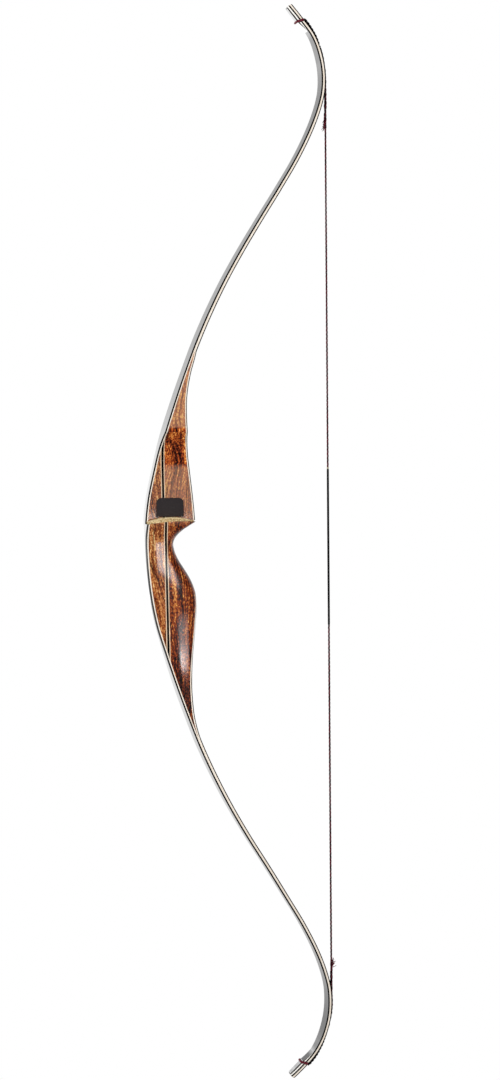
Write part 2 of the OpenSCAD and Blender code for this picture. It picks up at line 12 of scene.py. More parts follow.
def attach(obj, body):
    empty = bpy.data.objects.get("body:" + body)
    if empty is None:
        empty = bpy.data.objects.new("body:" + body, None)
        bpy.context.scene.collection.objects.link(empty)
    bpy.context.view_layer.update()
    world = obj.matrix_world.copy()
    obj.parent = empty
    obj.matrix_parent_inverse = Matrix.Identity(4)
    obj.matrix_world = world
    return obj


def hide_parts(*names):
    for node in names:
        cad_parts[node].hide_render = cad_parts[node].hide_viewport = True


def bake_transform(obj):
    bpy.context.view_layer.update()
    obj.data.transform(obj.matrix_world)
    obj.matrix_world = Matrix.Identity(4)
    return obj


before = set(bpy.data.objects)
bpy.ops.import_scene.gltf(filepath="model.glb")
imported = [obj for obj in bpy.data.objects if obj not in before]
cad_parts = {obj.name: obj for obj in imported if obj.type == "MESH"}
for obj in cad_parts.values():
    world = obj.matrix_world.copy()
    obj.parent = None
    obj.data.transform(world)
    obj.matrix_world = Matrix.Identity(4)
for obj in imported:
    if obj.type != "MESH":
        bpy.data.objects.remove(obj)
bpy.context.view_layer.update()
mm = 0.001

# the sizes that the bow is built from
bow = {
    "backGlass": 2.0, "bellyGlass": 1.3, "coreRoot": 1.25, "coreTip": 0.95, "taperFrom": 262,
    "limbRoot": 38, "limbRecurve": 27, "limbNock": 14.5,
    "overlayLight": 1.8, "overlayDark": 1.5, "lightShare": 0.58,
    "grooveRadius": 1.7, "grooveOut": 0.2, "tipRound": 2.2, "riserEnd": 250,
    "riserWidth": 45, "throatWidth": 30, "palmWidth": 34, "lowerWidth": 38,
    "gripRound": 13, "backRound": 10, "stripeDark": 2.8, "stripeLight": 1.1,
    "edge": 0.15,
}
window = {"shelf": 32.6, "crown": 260, "crownAt": 8, "top": 105, "wall": 0.5, "ramp": 42, "edge": 1.4,
          "lip": 1.2, "join": 1.6}
rug = {"thick": 4.9, "width": 21, "crown": 90, "crownAt": -3.4, "startGap": 1.2, "endGap": 4.6}
plate = {"width": 35.4, "height": 24.1, "thick": 2, "corner": 6.5, "gap": 0.3, "middle": -3.8,
         "seat": 0.02, "bevel": 0.5}
string = {"splice": 3.0, "serving": 3.0, "gap": 0.3, "nocking": 42,
          "servingTop": 97, "servingBottom": -106}
upper = {"name": "upper", "middle": 440, "lift": 597, "nock": 671.5, "tip": 690.5,
         "overlay": 657.5, "merge": 640, "tagEnd": 540, "tagSpan": (-3, 9), "sign": 1}
lower = {"name": "lower", "middle": -434, "lift": -603, "nock": -679.5, "tip": -696.5,
         "overlay": -665.5, "merge": -646, "tagEnd": -553, "tagSpan": (-3, 4), "sign": -1}

# the back of the bow, the riser's belly and the handle, as [z, x]
backLine = [
    [-706, 137.3], [-690, 155.9], [-670, 175], [-650, 186.8], [-625, 194.8], [-600, 197.4],
    [-575, 194.9], [-540, 183.5], [-500, 164.1], [-460, 140.4], [-420, 116.2], [-380, 91.3],
    [-340, 68.3], [-300, 47.8], [-260, 29.7], [-220, 14.3], [-180, 0], [-140, -12.9],
    [-100, -24.6], [-60, -32], [-20, -35.8], [20, -36.4], [60, -32.5], [100, -24],
    [140, -14.3], [180, -1.5], [220, 12.6], [260, 27.9], [300, 45.5], [340, 65.5],
    [380, 88.2], [420, 112.8], [460, 138.2], [500, 162.2], [540, 181.7], [575, 193.4],
    [600, 195.7], [625, 192.5], [650, 184], [670, 170.5], [690, 154.5], [706, 142.2],
]
riserBelly = [
    [-240, 28.6], [-220, 23.8], [-200, 21.5], [-180, 20.5], [-160, 21.1], [-140, 22.8],
    [-110, 26.6], [-70, 30.4], [-20, 31], [30, 29.2], [60, 26.8], [90, 23.5],
    [120, 20], [150, 17.1], [175, 16.4], [195, 17.5], [220, 22], [240, 27.7],
]
handleLine = [
    [-110, 34], [-90, 30.8], [-80, 30], [-70, 29.7], [-60, 28.2], [-50, 24.9], [-40, 20.2],
    [-30, 14.2], [-20, 7.9], [-10, 3], [-2, 0.8], [4, 0.3], [10, 2.2], [16, 6.6], [22, 12.9],
    [25, 17.1], [28, 21.2], [31, 25.5], [33.5, 29.6], [37, 35.4],
]
stripeFront = [[-480, -16.2], [-146, -12.0], [136, -15.7], [480, -17.6]]


def smoothCurve(points):
    z0, x0 = np.array(points, float).T
    ends = (np.diff(x0) / np.diff(z0))[[0, -1]]
    slopes = np.concatenate([ends[:1], (x0[2:] - x0[:-2]) / (z0[2:] - z0[:-2]), ends[1:]])

    def read(z):
        z = np.asarray(z, float)
        inside = np.clip(z, z0[0], z0[-1])
        i = np.clip(np.searchsorted(z0, inside, side="right") - 1, 0, len(z0) - 2)
        h = z0[i + 1] - z0[i]
        t = (inside - z0[i]) / h
        a, b = slopes[i] * h, slopes[i + 1] * h
        smooth = (x0[i] * (2 * t - 3) * t * t + x0[i] + a * t * (t - 1) ** 2
                  + x0[i + 1] * (3 - 2 * t) * t * t + b * t * t * (t - 1))
        return smooth + (z - inside) * np.where(z < inside, slopes[0], slopes[-1])
    return read


def slopeOf(curve, z):
    return curve(z + 0.5) - curve(z - 0.5)


def smoothStep(a, b, z):
    t = np.clip((z - a) / (b - a), 0, 1)
    return t * t * (3 - 2 * t)


backAt = smoothCurve(backLine)
handleAt = smoothCurve(handleLine)
halfRoot, halfRecurve, halfNock = bow["limbRoot"] / 2, bow["limbRecurve"] / 2, bow["limbNock"] / 2
halfThroat, halfPalm, halfRiser = bow["throatWidth"] / 2, bow["palmWidth"] / 2, bow["riserWidth"] / 2
halfLower, grip, spine = bow["lowerWidth"] / 2, bow["gripRound"], bow["backRound"]
overlayDepth = bow["overlayLight"] + bow["overlayDark"]
limbHalfBy = smoothCurve([
    [-430, halfRoot + 0.2], [-290, halfRoot - 1.2], [-170, halfRecurve + 1.8],
    [-72, halfRecurve], [-40, halfRecurve - 1.4], [-17.5, halfNock + 2.6],
    [0, halfNock], [12, halfNock - 0.6], [20.5, halfNock - 2], [26.5, 2],
])
riserHalf = smoothCurve([
    [-272, halfRoot], [-230, halfRoot + 0.3], [-180, halfLower + 0.4],
    [-140, halfLower - 0.6], [-110, halfPalm + 0.4], [-75, halfPalm],
    [-40, halfPalm - 0.8], [-5, halfThroat], [12, halfThroat + 0.4],
    [24, (halfThroat + halfRiser) / 2], [34, halfRiser - 0.6], [60, halfRiser],
    [120, halfRiser], [170, halfRiser - 1], [215, halfRiser - 2.6], [272, halfRoot],
])
bellyRounding = smoothCurve([
    [-272, 0.8], [-200, 0.8], [-165, 1.5], [-130, grip * 0.5],
    [-100, grip * 0.85], [-70, grip], [-20, grip],
    [10, grip * 0.95], [22, grip * 0.6], [30, grip * 0.3],
    [36, 1.2], [60, 0.8], [272, 0.8],
])
handleCrown = smoothCurve([
    [-272, 0], [-210, 0.2], [-170, 0.9], [-130, 1.3], [-90, 1.6], [-40, 1.8], [0, 1.7],
    [20, 1.1], [30, 0.4], [38, 0], [272, 0],
])
backRounding = smoothCurve([
    [-272, 0.8], [-195, 0.8], [-170, 2], [-140, spine * 0.6], [-105, spine],
    [10, spine], [24, spine * 0.6], [34, 1.5], [60, 0.8], [272, 0.8],
])


def coreDepth(z):
    start = bow["taperFrom"]
    share = np.clip((np.abs(z) - start) / (upper["nock"] - start), 0, 1)
    return bow["coreRoot"] + share * (bow["coreTip"] - bow["coreRoot"])


def stackDepth(z):
    return bow["backGlass"] + 2 * coreDepth(z) + bow["bellyGlass"]


def limbHalf(z):
    z = np.asarray(z, float)
    return limbHalfBy(np.where(z > 0, z - upper["nock"], lower["nock"] - z))


def slant(z):
    return np.sqrt(1 + slopeOf(backAt, z) ** 2)


def limbBelly(z):
    return [z, float(backAt(z) + stackDepth(z) * slant(z))]


bellyAt = smoothCurve([limbBelly(z) for z in (-276, -265, -254)] + riserBelly
                      + [limbBelly(z) for z in (252, 264, 276)])


def sidePoint(z, depth):
    # a point below the back, square to it, as (x, z)
    s = slopeOf(backAt, z)
    n = np.sqrt(1 + s * s)
    return backAt(z) + depth / n, z - depth * s / n


# meshes from grids

def addObject(name, data):
    made = bpy.data.objects.new(name, data)
    bpy.context.collection.objects.link(made)
    return made


def addMesh(name, bm, *skins):
    mesh = bpy.data.meshes.new(name)
    bm.to_mesh(mesh)
    bm.free()
    for skin in skins:
        mesh.materials.append(skin)
    return addObject(name, mesh)


def finishPiece(name, bm, lookKeys, body=None, nodes=(), angle=35):
    bmesh.ops.remove_doubles(bm, verts=bm.verts, dist=1e-6)
    bmesh.ops.holes_fill(bm, edges=bm.edges, sides=0)
    bmesh.ops.recalc_face_normals(bm, faces=bm.faces)
    piece = addMesh(name, bm, *(materials[key] for key in lookKeys))
    piece.data.shade_smooth()
    piece.data.set_sharp_from_angle(angle=math.radians(angle))
    if body:
        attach(piece, body)
    if nodes:
        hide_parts(*nodes)
    return piece


def wrappedGrid(bm, place):
    # a grid whose point [row, column] is moved to place[row, column], in millimetres
    rows, columns = place.shape[:2]
    made = bmesh.ops.create_grid(bm, x_segments=columns - 1, y_segments=rows - 1, size=1)
    for vert in made["verts"]:
        column = round((vert.co.x + 1) / 2 * (columns - 1))
        row = round((vert.co.y + 1) / 2 * (rows - 1))
        vert.co = Vector(place[row, column]) * mm


# riser

# towards its ends the riser turns square to the limbs and takes their width
riserBlend = {"tilt": 24, "width": 50, "crown": 20, "passes": 9}
rowSteps = {"plain": 3, "handle": 1.3, "shelf": 0.7, "ramp": 1.2}
rowZones = {"handle": (-112, 22), "shelf": 40, "ramp": (100, 156)}
# loops this far inside the edges keep the flat faces flat in the shading
loopInset = {"riser": 0.4, "limb": 0.3}
thinnest = {"riser": 0.03, "limb": 0.02}
# a rounding takes at most this share of a thickness
cornerShare = 0.45


def riserSeams(z):
    # where the laminations meet, from the back to the belly, at one height
    s = slant(z)
    sBelly = np.sqrt(1 + slopeOf(bellyAt, z) ** 2)
    x0 = backAt(z)
    uncut = bellyAt(z)
    inHand = (z > handleLine[0][0]) & (z < 36.5)
    x1 = np.where(inHand, np.minimum(uncut, handleAt(z)), uncut)
    core = x0 + (bow["backGlass"] + bow["coreRoot"]) * s
    wood = np.maximum(uncut - (bow["bellyGlass"] + bow["coreRoot"]) * sBelly, core)
    front = np.interp(z, *np.array(stripeFront).T)
    light, dark = bow["stripeLight"], bow["stripeDark"]
    seams = [x0, x0 + bow["backGlass"] * s, core]
    for x in (front, front + light, front + light + dark, front + 2 * light + dark):
        seams.append(np.clip(x, core, wood))
    seams += [wood, np.maximum(uncut - bow["bellyGlass"] * sBelly, wood), uncut]
    return [np.minimum(x, x1) for x in seams]


def sideLength(x, x0, x1, ra, rb):
    # length along the side from the back's flat, round its corner, to x
    front = ra * np.arccos(np.clip(1 - (x - x0) / ra, 0, 1))
    rear = rb * np.arcsin(np.clip((x - x1 + rb) / rb, 0, 1))
    return front + np.clip(x - x0 - ra, 0, np.maximum(x1 - rb - x0 - ra, 0)) + rear


def sideAt(length, x0, x1, ra, rb):
    flat = np.maximum(x1 - rb - x0 - ra, 0)
    front = ra * (1 - np.cos(np.clip(length / ra, 0, math.pi / 2)))
    middle = np.clip(length - ra * math.pi / 2, 0, flat)
    rear = rb * np.sin(np.clip((length - ra * math.pi / 2 - flat) / rb, 0, math.pi / 2))
    return x0 + front + middle + rear


def cornerInset(x, x0, x1, ra, rb):
    a = np.clip((x0 + ra - x) / ra, 0, 1)
    b = np.clip((x - x1 + rb) / rb, 0, 1)
    return ra * (1 - np.sqrt(1 - a * a)) + rb * (1 - np.sqrt(1 - b * b))


def windowWall(z):
    # the window's wall, and the ramp that runs out to the riser's side
    reachOut = halfRiser + window["wall"]
    radius = (reachOut ** 2 + window["ramp"] ** 2) / (2 * reachOut)
    up = np.clip(z - window["top"], 0, radius * 0.98)
    wall = window["wall"] - radius + np.sqrt(radius ** 2 - up ** 2)
    side = -riserHalf(z)
    return (wall + side + np.sqrt((wall - side) ** 2 + window["join"] ** 2)) / 2


def shelfTop(x):
    off = np.clip(x - window["crownAt"], -63, 63)
    return window["shelf"] - window["crown"] + np.sqrt(window["crown"] ** 2 - off ** 2)


def ringAround(columns, inset, middle):
    # round a section: how far through the lamination, on which side, and how far inside the edge
    across, flat = np.linspace(0, 1, columns), np.zeros(columns)
    turn, centre = [1, 0, 1] if middle else [1, 1], [0] * middle
    share = np.concatenate([[0], across, [1] * (2 + middle), across[::-1], [0] * (2 + middle)])
    side = np.concatenate([np.ones(columns + 2), centre, -np.ones(columns + 2), centre, [1]])
    pull = inset * np.concatenate([[1], flat, turn, flat, turn])
    return share[None, :], side[None, :], pull[None, :]


def riserPlace(rows, above, layer, columns):
    # rows: heights; above: whether the row belongs to the window's side of the shelf
    rows = rows[:, None]
    above = above[:, None]
    share, side, pull = ringAround(columns, loopInset["riser"], 1)
    end, lip = bow["riserEnd"], window["lip"]
    tilt = smoothStep(end - riserBlend["tilt"], end, np.abs(rows)) * slopeOf(backAt, rows)
    crowned = smoothStep(riserBlend["crown"], 0, np.abs(rows - window["shelf"]))
    z = rows + 0 * share
    # the height depends on x, and x on the height, so both are found in a few passes
    for _ in range(riserBlend["passes"]):
        seams = riserSeams(z)
        x0, x1, lo, hi = seams[0], seams[-1], seams[layer], seams[layer + 1]
        blended = smoothStep(end - riserBlend["width"], end, np.abs(z))
        half = riserHalf(z) + (limbHalf(z) - riserHalf(z)) * blended
        inWindow = above & (side < 0)
        ra = np.where(inWindow, window["edge"], backRounding(z))
        rb = np.where(inWindow, window["edge"], bellyRounding(z))
        most = np.maximum((x1 - x0) * cornerShare, 0.1)
        ra, rb = np.minimum(ra, most), np.minimum(rb, most)
        a, b = sideLength(lo, x0, x1, ra, rb), sideLength(hi, x0, x1, ra, rb)
        x = sideAt(a + share * (b - a), x0, x1, ra, rb)
        drop = window["shelf"] - shelfTop(x)
        z = rows - (x - backAt(rows)) * tilt - crowned * drop
    middle = np.clip((2 * x - x0 - x1) / np.maximum(x1 - x0, 1), -1, 1)
    inset = cornerInset(x, x0, x1, ra, rb) + np.clip(handleCrown(z), 0, 2) * middle ** 2
    edge = np.minimum(window["edge"], most)
    windowSide = windowWall(z) + cornerInset(x, x0, x1, edge, edge)
    under = np.clip(1 - (window["shelf"] - rows) / lip, 0, 1)
    rounding = np.where(above, 0, lip * (1 - np.sqrt(1 - under ** 2)))
    leftSide = np.where(above, windowSide, inset + rounding - half)
    inner = windowSide + np.where(above, lip, 0)
    y = np.where(side > 0, half - inset - pull, np.where(side < 0, leftSide + pull, inner))
    return np.stack([x, y, z], axis=-1)


def spread(a, b, step):
    return np.linspace(a, b, max(2, int(round((b - a) / step)) + 1))


def riserRows(low, high):
    # heights of the rows, closer in the handle, at the shelf and on the window's ramp
    shelf, lip, end = window["shelf"], window["lip"], bow["riserEnd"]
    plain, fine = rowSteps["plain"], rowSteps["shelf"]
    (a, b), top, (c, d) = rowZones.values()
    below = np.unique(np.concatenate([
        spread(-end, a, plain), spread(a, b, rowSteps["handle"]), spread(b, shelf - lip, fine),
        shelf - lip * (1 - np.sin(np.linspace(0, math.pi / 2, 6)))]))
    over = np.unique(np.concatenate([
        [shelf], spread(shelf + fine, top, fine), spread(top, c, plain),
        spread(c, d, rowSteps["ramp"]), spread(d, end, plain)]))
    rows = np.concatenate([below, over])
    above = np.repeat([False, True], [len(below), len(over)])
    keep = (rows > low + 0.05) & (rows < high - 0.05)
    return (np.concatenate([[low], rows[keep], [high]]),
            np.concatenate([[low >= shelf], above[keep], [high > shelf]]))


def riserSpans(layer, step=0.25, shortest=10):
    # the heights between which a lamination has any thickness
    z = np.arange(-bow["riserEnd"], bow["riserEnd"] + 0.01, step)
    seams = riserSeams(z)
    there = seams[layer + 1] - seams[layer] > thinnest["riser"]
    edges = np.flatnonzero(np.diff(np.concatenate([[0], there.astype(int), [0]])))
    return [(float(z[a]), float(z[b - 1])) for a, b in zip(edges[::2], edges[1::2])
            if (b - a) * step > shortest]


def riserPiece(name, layer, columns, look, node, span):
    bm = bmesh.new()
    rows, above = riserRows(*span)
    wrappedGrid(bm, riserPlace(rows, above, layer, columns))
    finishPiece(name, bm, [look], "riser", [node])


# limbs

nockSlant = (0.95, 0.31)
limbSteps = {"plain": 4, "nock": 0.4, "overlay": 1}


def wedgeAt(part, z):
    # the overlay swells to its full depth and thins again at the tip
    past = (z - part["overlay"]) * part["sign"]
    most = overlayDepth
    return np.interp(past, [0, 5, 14, 24, 40], [0, most * 0.35, most, most, most - 0.8])


def nockCentre(part):
    x, z = sidePoint(part["nock"], (stackDepth(part["nock"]) - overlayDepth) / 2)
    g = Vector((nockSlant[0], nockSlant[1] * part["sign"])).normalized()
    return float(x), float(z), g.x, g.y


def limbSeams(part, z):
    # the overlay's dark and light layers, then back glass, two cores and belly glass
    wedge = wedgeAt(part, z) if part else 0 * z
    light = np.minimum(wedge * bow["lightShare"], bow["overlayLight"])
    core, glass = coreDepth(z), bow["backGlass"] + 0 * z
    return [-wedge, -light, 0 * z, glass, glass + core, glass + 2 * core, stackDepth(z)]


def tipInset(part, z, slope=1.25):
    if not part:
        return 0 * z
    radius = bow["tipRound"]
    left = np.clip(1 - (part["tip"] - z) * part["sign"] * slope / radius, 0, 1)
    return radius * (1 - np.sqrt(1 - left ** 2))


def limbPlace(part, rows, layer, columns):
    rows = rows[:, None]
    share, side, pull = ringAround(columns, loopInset["limb"], 0)
    seams, shrink = limbSeams(part, rows), tipInset(part, rows)
    d0, d1 = seams[0] + shrink, seams[-1] - shrink
    lo, hi = np.clip(seams[layer], d0, d1), np.clip(seams[layer + 1], d0, d1)
    most = (d1 - d0) * cornerShare
    radius = np.minimum(bow["edge"], most)
    # the overlay's edges are filed rounder
    filed = np.minimum(bow["edge"] + 0.35 * np.maximum(-seams[0], 0), most)
    a, b = sideLength(lo, d0, d1, filed, radius), sideLength(hi, d0, d1, filed, radius)
    depth = sideAt(a + share * (b - a), d0, d1, filed, radius)
    x, z = sidePoint(rows, depth)
    half = limbHalf(rows) - shrink - cornerInset(depth, d0, d1, filed, radius) - pull
    if part:
        cx, cz, gx, gz = nockCentre(part)
        off = np.abs((x - cx) * gz - (z - cz) * gx) / bow["grooveRadius"]
        groove = bow["grooveRadius"] * np.sqrt(1 - np.clip(off, 0, 1) ** 2)
        half = np.where(off < 1, np.minimum(half, halfNock + bow["grooveOut"] - groove), half)
    return np.stack([x, side * half, z + 0 * half], axis=-1)


def limbRows(part, start, end):
    # rows from start to end, closer at the nock and at the rounded tip
    sign = 1 if end > 0 else -1
    rows = [np.linspace(start, end, max(3, int(abs(end - start) / limbSteps["plain"])))]
    if part and abs(end) > abs(part["nock"]):
        rows.append(part["nock"] + spread(-9, 9, limbSteps["nock"]))
        rows.append(part["overlay"] + sign * spread(0, 30, limbSteps["overlay"]))
        rows.append(part["tip"] - sign * bow["tipRound"] * (1 - np.sin(np.linspace(0, math.pi / 2, 8))))
    rows = np.unique(np.concatenate(rows))
    rows = rows[(rows > min(start, end) - 1e-6) & (rows < max(start, end) + 1e-6)]
    return rows if sign > 0 else rows[::-1]


def limbPiece(name, part, layer, start, end, look, body, nodes):
    rows = limbRows(part, start, end)
    seams, shrink = limbSeams(part, rows), tipInset(part, rows)
    d0, d1 = seams[0] + shrink, seams[-1] - shrink
    thick = np.clip(seams[layer + 1], d0, d1) - np.clip(seams[layer], d0, d1)
    bm = bmesh.new()
    wrappedGrid(bm, limbPlace(part, rows[thick > thinnest["limb"]], layer, 5))
    return finishPiece(name, bm, [look], body, nodes)


# string paths

def beltPoint(z, lift=0.0):
    # the string's centre where it lies on the belly of a recurve
    x, height = sidePoint(z, stackDepth(z) + string["gap"] + lift + string["splice"] / 2)
    return np.array([x, 0, height], float)


upper["liftPoint"], lower["liftPoint"] = beltPoint(upper["lift"]), beltPoint(lower["lift"])


def onString(z):
    a, b = lower["liftPoint"], upper["liftPoint"]
    return a + (b - a) * (z - a[2]) / (b[2] - a[2])


def resample(points, step, closed=False):
    points = np.array(points, float)
    if closed:
        points = np.vstack([points, points[:1]])
    far = np.concatenate([[0], np.cumsum(np.linalg.norm(np.diff(points, axis=0), axis=1))])
    at = spread(0, far[-1], step)
    return np.stack([np.interp(at, far, points[:, k]) for k in range(3)], axis=1), at


def rounded(points, between=8):
    # closed Catmull-Rom curve through the points
    points = np.array(points, float)
    rows = []
    for a, p, c, d in zip(*(np.roll(points, shift, 0) for shift in (1, 0, -1, -2))):
        for t in np.arange(between) / between:
            cubic = 1.5 * (p - c) + (d - a) / 2
            rows.append(p + t * ((c - a) / 2 + t * (a - 2.5 * p + 2 * c - d / 2 + t * cubic)))
    return rows


def framesAlong(points, closed=False):
    ahead = np.gradient(points, axis=0)
    if closed:
        ahead = np.roll(points, -1, 0) - np.roll(points, 1, 0)
    ahead /= np.linalg.norm(ahead, axis=1)[:, None]
    across = np.empty_like(points)
    u = np.array([0.3, 0.9, 0.2])
    for i, t in enumerate(ahead):
        u = u - (u @ t) * t
        u /= np.linalg.norm(u)
        across[i] = u
    return ahead, across, np.cross(ahead, across)


def addTube(bm, points, radii, sides, closed=False, slot=0):
    _, across, over = framesAlong(points, closed)
    turn = np.linspace(0, 2 * math.pi, sides + 1)
    radii = np.broadcast_to(radii, len(points))[:, None, None]
    place = (points[:, None, :] + radii * (np.cos(turn)[None, :, None] * across[:, None, :]
                                           + np.sin(turn)[None, :, None] * over[:, None, :]))
    if closed:
        place = np.concatenate([place, place[:1]])
    before = len(bm.faces)
    wrappedGrid(bm, place)
    if slot:
        bm.faces.ensure_lookup_table()
        for face in bm.faces[before:]:
            face.material_index = slot


def addStrands(bm, points, along, lay, closed=False):
    # twisted strands round a line; the material alternates from strand to strand
    _, across, over = framesAlong(points, closed)
    turned = along / lay["pitch"]
    for k in range(lay["strands"]):
        angle = 2 * math.pi * (k / lay["strands"] + turned)
        # loose strands stand off and close up by turns
        off = lay.get("loose", 0) * np.sin(turned * 4.1 + 2.1 * k)
        reachOut = np.broadcast_to(lay["helix"], len(points)) * (1 + off)
        outward = np.cos(angle)[:, None] * across + np.sin(angle)[:, None] * over
        addTube(bm, points + reachOut[:, None] * outward, lay["strand"], 6, closed, (k + 1) % 2)


# materials

def toLinear(hexColour):
    parts = [int(hexColour[i:i + 2], 16) / 255 for i in (0, 2, 4)]
    return tuple(c / 12.92 if c <= 0.04045 else ((c + 0.055) / 1.055) ** 2.4 for c in parts) + (1,)


def addNode(tree, kind, settings=None, links=None):
    node = tree.nodes.new("ShaderNode" + kind)
    for key, value in (settings or {}).items():
        if isinstance(key, int) or key in node.inputs:
            node.inputs[key].default_value = value
        else:
            setattr(node, key, value)
    for key, socket in (links or {}).items():
        tree.links.new(socket, node.inputs[key])
    return node


def calc(tree, operation, *values, clamp=False):
    # the result of a math node, where each value is a number or a socket
    node = addNode(tree, "Math", {"operation": operation, "use_clamp": clamp})
    for slot, value in enumerate(values):
        if isinstance(value, (int, float)):
            node.inputs[slot].default_value = value
        else:
            tree.links.new(value, node.inputs[slot])
    return node.outputs[0]


def chain(tree, operation, value, *others):
    # several values through one kind of math node, two at a time
    for other in others:
        value = calc(tree, operation, value, other)
    return value


def remap(tree, value, ends, to=(0.0, 1.0)):
    # what lies between the two ends is drawn out between the two values
    return addNode(tree, "MapRange", {
        "From Min": ends[0], "From Max": ends[1], "To Min": to[0], "To Max": to[1],
    }, {"Value": value}).outputs[0]


def noise(tree, vector, scale, detail, roughness):
    return addNode(tree, "TexNoise", {
        "Scale": scale, "Detail": detail, "Roughness": roughness,
    }, {"Vector": vector}).outputs


def stretched(tree, vector, scale):
    return addNode(tree, "Mapping", {"Scale": scale}, {"Vector": vector}).outputs["Vector"]


def toned(tree, factor, stops):
    node = addNode(tree, "ValToRGB", {}, {"Fac": factor})
    elements = node.color_ramp.elements
    while len(elements) < len(stops):
        elements.new(0.5)
    for element, (position, colour) in zip(elements, stops):
        element.position = position
        element.color = toLinear(colour)
    return node.outputs["Color"]


def axesOf(tree, vector):
    return addNode(tree, "SeparateXYZ", {}, {0: vector}).outputs


def addGrain(tree, shader, vector, stops, **grain):
    # a noise that gives the base colour its tones
    drawn = noise(tree, vector, **grain)["Fac"]
    tree.links.new(toned(tree, drawn, stops), shader.inputs["Base Color"])
    return drawn


def addBump(tree, shader, height, strength, distance):
    bump = addNode(tree, "Bump", {"Strength": strength, "Distance": distance}, {"Height": height})
    tree.links.new(bump.outputs["Normal"], shader.inputs["Normal"])


def newMaterial(name, settings):
    material = bpy.data.materials.new(name)
    material.use_nodes = True
    tree = material.node_tree
    shader = tree.nodes["Principled BSDF"]
    for key, value in settings.items():
        shader.inputs[key].default_value = value
    return material, tree, shader


def onObject(tree):
    return addNode(tree, "TexCoord").outputs["Object"]


# where the wood's look, and its painted light and shade, change: heights in mm, but rampSide is across the
# bow
woodZones = {"shelf": (26, 40), "rampStart": (99, 106), "rampEnd": (154.5, 151), "rampSide": (6, 2),
             "heel": (-185, -158)}
woodLevels = (0.32, 0.42, 0.5, 0.58, 0.69)
# how much each part of the figure counts
figure = {"pores": 0.64, "mottle": 0.12, "broad": 0.36, "lines": 0.66}
# painted light: how much brighter the window's ramp is drawn
rampPaintedLight = 0.5


def makeHardwood(name, look):
    # figured tropical hardwood under gloss lacquer: dark growth lines, bright pores, and painted light and
    # shade on the window's wall, its ramp and the heel
    material, tree, shader = newMaterial(name, {
        "Roughness": 0.42, "IOR": 1.5, "Specular IOR Level": 0.2,
        "Coat Weight": 1.0, "Coat Roughness": 0.1,
    })
    inMm = addNode(tree, "Mapping", {
        "Scale": (1000, 1000, 1000), "Rotation": (0, math.radians(look["tilt"]), 0),
        "Location": look["shift"],
    }, {"Vector": onObject(tree)}).outputs["Vector"]
    wander = noise(tree, inMm, scale=0.014, detail=2, roughness=0.4)
    pushed = addNode(tree, "VectorMath", {"operation": "MULTIPLY_ADD", 1: (30, 30, 0)},
                     {0: wander["Color"], 2: inMm}).outputs["Vector"]
    # growth lines a few millimetres apart, drawn out along the block
    growth = stretched(tree, pushed, (1, 0.4, 0.022))
    lines = noise(tree, growth, scale=0.42, detail=3, roughness=0.6)
    broad = noise(tree, growth, scale=0.12, detail=2, roughness=0.5)
    mottle = noise(tree, pushed, scale=0.06, detail=2, roughness=0.5)
    # pores, drawn coarse enough to show at this distance
    pores = noise(tree, stretched(tree, inMm, (1, 1, 0.55)), scale=0.62, detail=1.5, roughness=0.75)
    # the block is paler above the shelf, but not on the window's ramp
    axes = axesOf(tree, inMm)
    above, low, high, side = (remap(tree, axes["Y" if zone == "rampSide" else "Z"], woodZones[zone])
                              for zone in ("shelf", "rampStart", "rampEnd", "rampSide"))
    ramp = chain(tree, "MULTIPLY", low, high, side)
    pale = calc(tree, "SUBTRACT", above, ramp, clamp=True)
    level = calc(tree, "MULTIPLY_ADD", pale, look["paler"], look["level"])
    for source, weight in zip((pores, mottle, broad, lines), figure.values()):
        level = calc(tree, "MULTIPLY_ADD", source["Fac"], weight, level)
    tone = toned(tree, level, list(zip(woodLevels, look["tones"])))
    # narrow dark rings that wander up the block
    ring = noise(tree, growth, scale=0.16, detail=1, roughness=0.4)
    near = calc(tree, "ABSOLUTE", calc(tree, "SUBTRACT", ring["Fac"], 0.5))
    shade = remap(tree, near, (0.004, 0.03), (look["ring"], 1.0))
    # painted light: the window's flat wall lies open to the light, so its tone is mixed towards a pale tan
    lightVeiledTone = addNode(tree, "Mix", {"data_type": "RGBA", 7: toLinear("c8a088")},
                     {0: calc(tree, "MULTIPLY", pale, look["paintedLightVeil"]), 6: tone})
    # painted shade darkens the heel, which turns from the light, and painted light brightens the end grain
    # on the ramp, which faces it
    heel = remap(tree, axes["Z"], woodZones["heel"], (look["heel"], 1.0))
    shade = calc(tree, "MULTIPLY", shade, calc(tree, "MULTIPLY_ADD", ramp, rampPaintedLight, heel))
    drawn = addNode(tree, "VectorMath", {"operation": "SCALE"},
                    {0: lightVeiledTone.outputs[2], "Scale": shade})
    tree.links.new(drawn.outputs["Vector"], shader.inputs["Base Color"])
    # the ramp is cut across the grain, which drinks the lacquer
    tree.links.new(remap(tree, ramp, (0, 1), (1, 0)), shader.inputs["Coat Weight"])
    return material


def makeMaple(name, look):
    # hard maple under gloss lacquer: pale, with fine straight fibre
    material, tree, shader = newMaterial(name, {
        "Roughness": 0.4, "IOR": 1.5, "Coat Weight": 0.8, "Coat Roughness": 0.08,
    })
    addGrain(tree, shader, stretched(tree, onObject(tree), (1000, 1000, 40)),
             [(0.3, look["dark"]), (0.7, look["light"])], scale=0.9, detail=3, roughness=0.6)
    return material


def makeLaminate(name, look):
    # glass or phenolic laminate: one colour with a deep gloss
    return newMaterial(name, {
        "Base Color": toLinear(look["colour"]), "Roughness": look["rough"], "IOR": 1.52,
        "Specular IOR Level": look.get("specular", 0.5),
        "Coat Weight": look.get("coat", 0.0), "Coat Roughness": look.get("blur", 0.03), "Coat IOR": 1.4,
    })[0]


